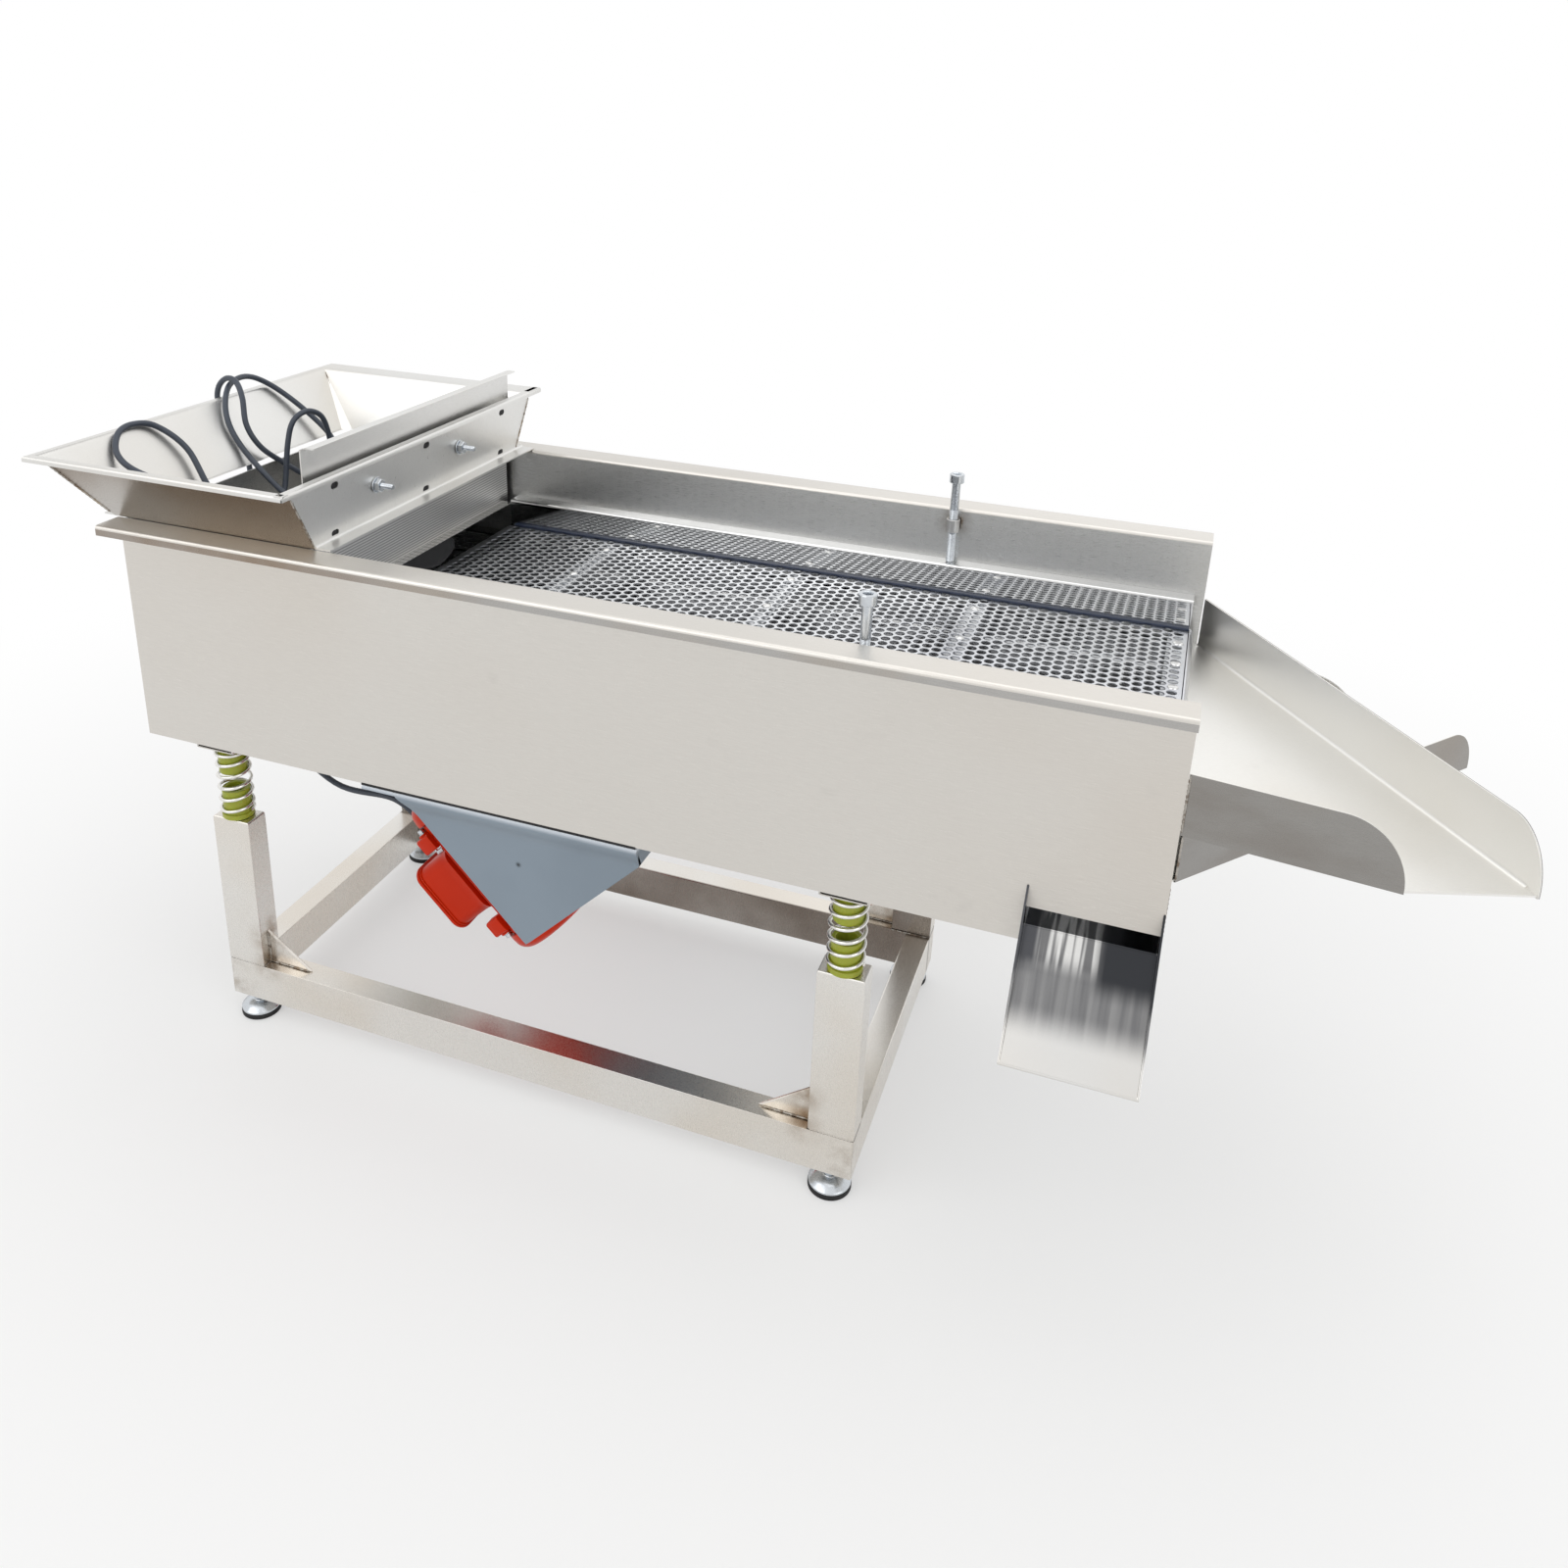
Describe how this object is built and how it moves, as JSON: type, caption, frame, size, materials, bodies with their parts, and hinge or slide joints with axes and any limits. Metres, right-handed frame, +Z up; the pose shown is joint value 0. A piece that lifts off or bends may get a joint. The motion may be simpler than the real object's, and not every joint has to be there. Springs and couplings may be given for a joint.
{
  "type": "linear vibrating sieve",
  "caption": "Spring-borne linear vibrating sieve with a feed hopper and gate, perforated decks, skewed outlet chutes, inclined vibration motors and a tubular stand.",
  "frame": {"origin": "middle of the machine's outline, on the floor", "axes": "+X along the trough from the hopper to the large chutes, -Y the front with the fines chute, +Z up"},
  "size_m": [1.4773, 0.5624, 0.747],
  "materials": {
    "frame_steel": "satin",
    "panel_steel": "satin",
    "deck_steel": "satin",
    "hopper_steel": "satin",
    "chute_steel": "satin",
    "spring_steel": "polished",
    "zinc": "bright zinc",
    "rotor_steel": "machined",
    "urethane": "satin",
    "rubber": "matt",
    "seal_rubber": "matt",
    "bracket_paint": "satin paint",
    "motor_paint": "gloss paint",
    "cord_rubber": "satin"
  },
  "bodies": {
    "base_frame": {"front_rail": "frame_steel", "back_rail": "frame_steel", "left_rail": "frame_steel", "right_rail": "frame_steel", "post_front_left": "frame_steel", "post_front_right": "frame_steel", "post_back_left": "frame_steel", "post_back_right": "frame_steel", "lower_plug_front_left": "urethane", "lower_plug_front_right": "urethane", "lower_plug_back_left": "urethane", "lower_plug_back_right": "urethane", "spring_front_left": "spring_steel", "spring_front_right": "spring_steel", "spring_back_left": "spring_steel", "spring_back_right": "spring_steel"},
    "trough": {"front_panel": "panel_steel", "back_panel": "panel_steel", "floor_pan": "panel_steel", "spring_beam_left": "panel_steel", "spring_beam_right": "panel_steel", "upper_plug_front_left": "urethane", "upper_plug_front_right": "urethane", "upper_plug_back_left": "urethane", "upper_plug_back_right": "urethane", "upper_deck": "deck_steel", "lower_deck": "deck_steel", "seal_front": "seal_rubber", "seal_back": "seal_rubber", "feed_pan": "panel_steel", "hopper": "hopper_steel", "gate_stud_front": "zinc", "gate_stud_back": "zinc", "top_chute": "chute_steel", "middle_chute": "chute_steel", "fines_chute": "chute_steel", "motor_bracket": "bracket_paint", "motor_mount_plate": "bracket_paint", "motor_front": "motor_paint", "motor_back": "motor_paint", "motor_cover_top_front": "motor_paint", "motor_cover_low_front": "motor_paint", "motor_cover_top_back": "motor_paint", "motor_cover_low_back": "motor_paint", "power_cord": "cord_rubber", "power_plug": "cord_rubber"},
    "gate": {"gate": "hopper_steel"},
    "clamp_front": {"clamp_screw_front": "zinc"},
    "clamp_back": {"clamp_screw_back": "zinc"},
    "rotor_front": {"rotor_front": "rotor_steel"},
    "rotor_back": {"rotor_back": "rotor_steel"},
    "foot_front_left": {"foot_front_left": "zinc", "foot_pad_front_left": "rubber"},
    "foot_front_right": {"foot_front_right": "zinc", "foot_pad_front_right": "rubber"},
    "foot_back_left": {"foot_back_left": "zinc", "foot_pad_back_left": "rubber"},
    "foot_back_right": {"foot_back_right": "zinc", "foot_pad_back_right": "rubber"}
  },
  "joints": [
    {"name": "trough_bounce", "type": "slide", "parent": "base_frame", "child": "trough", "axis": [0, 0, 1], "range_m": [-0.01, 0.006], "stiffness_N_per_m": 45000, "springref_m": 0.01713, "deforming": ["spring_front_left", "spring_front_right", "spring_back_left", "spring_back_right"]},
    {"name": "gate_lift", "type": "slide", "parent": "trough", "child": "gate", "axis": [0, 0, 1], "range_m": [0, 0.029]},
    {"name": "clamp_front_lift", "type": "slide", "parent": "trough", "child": "clamp_front", "axis": [0, 0, 1], "range_m": [0, 0.02]},
    {"name": "clamp_back_lift", "type": "slide", "parent": "trough", "child": "clamp_back", "axis": [0, 0, 1], "range_m": [0, 0.02]},
    {"name": "rotor_front_spin", "type": "hinge", "parent": "trough", "child": "rotor_front", "pos_m": [-0.2627, -0.09325, 0.2642], "axis": [0.7071, 0, -0.7071], "continuous": true},
    {"name": "rotor_back_spin", "type": "hinge", "parent": "trough", "child": "rotor_back", "pos_m": [-0.2627, 0.13075, 0.2642], "axis": [0.7071, 0, -0.7071], "continuous": true},
    {"name": "foot_front_left_level", "type": "slide", "parent": "base_frame", "child": "foot_front_left", "axis": [0, 0, 1], "range_m": [-0.01, 0]},
    {"name": "foot_front_right_level", "type": "slide", "parent": "base_frame", "child": "foot_front_right", "axis": [0, 0, 1], "range_m": [-0.01, 0]},
    {"name": "foot_back_left_level", "type": "slide", "parent": "base_frame", "child": "foot_back_left", "axis": [0, 0, 1], "range_m": [-0.01, 0]},
    {"name": "foot_back_right_level", "type": "slide", "parent": "base_frame", "child": "foot_back_right", "axis": [0, 0, 1], "range_m": [-0.01, 0]}
  ]
}
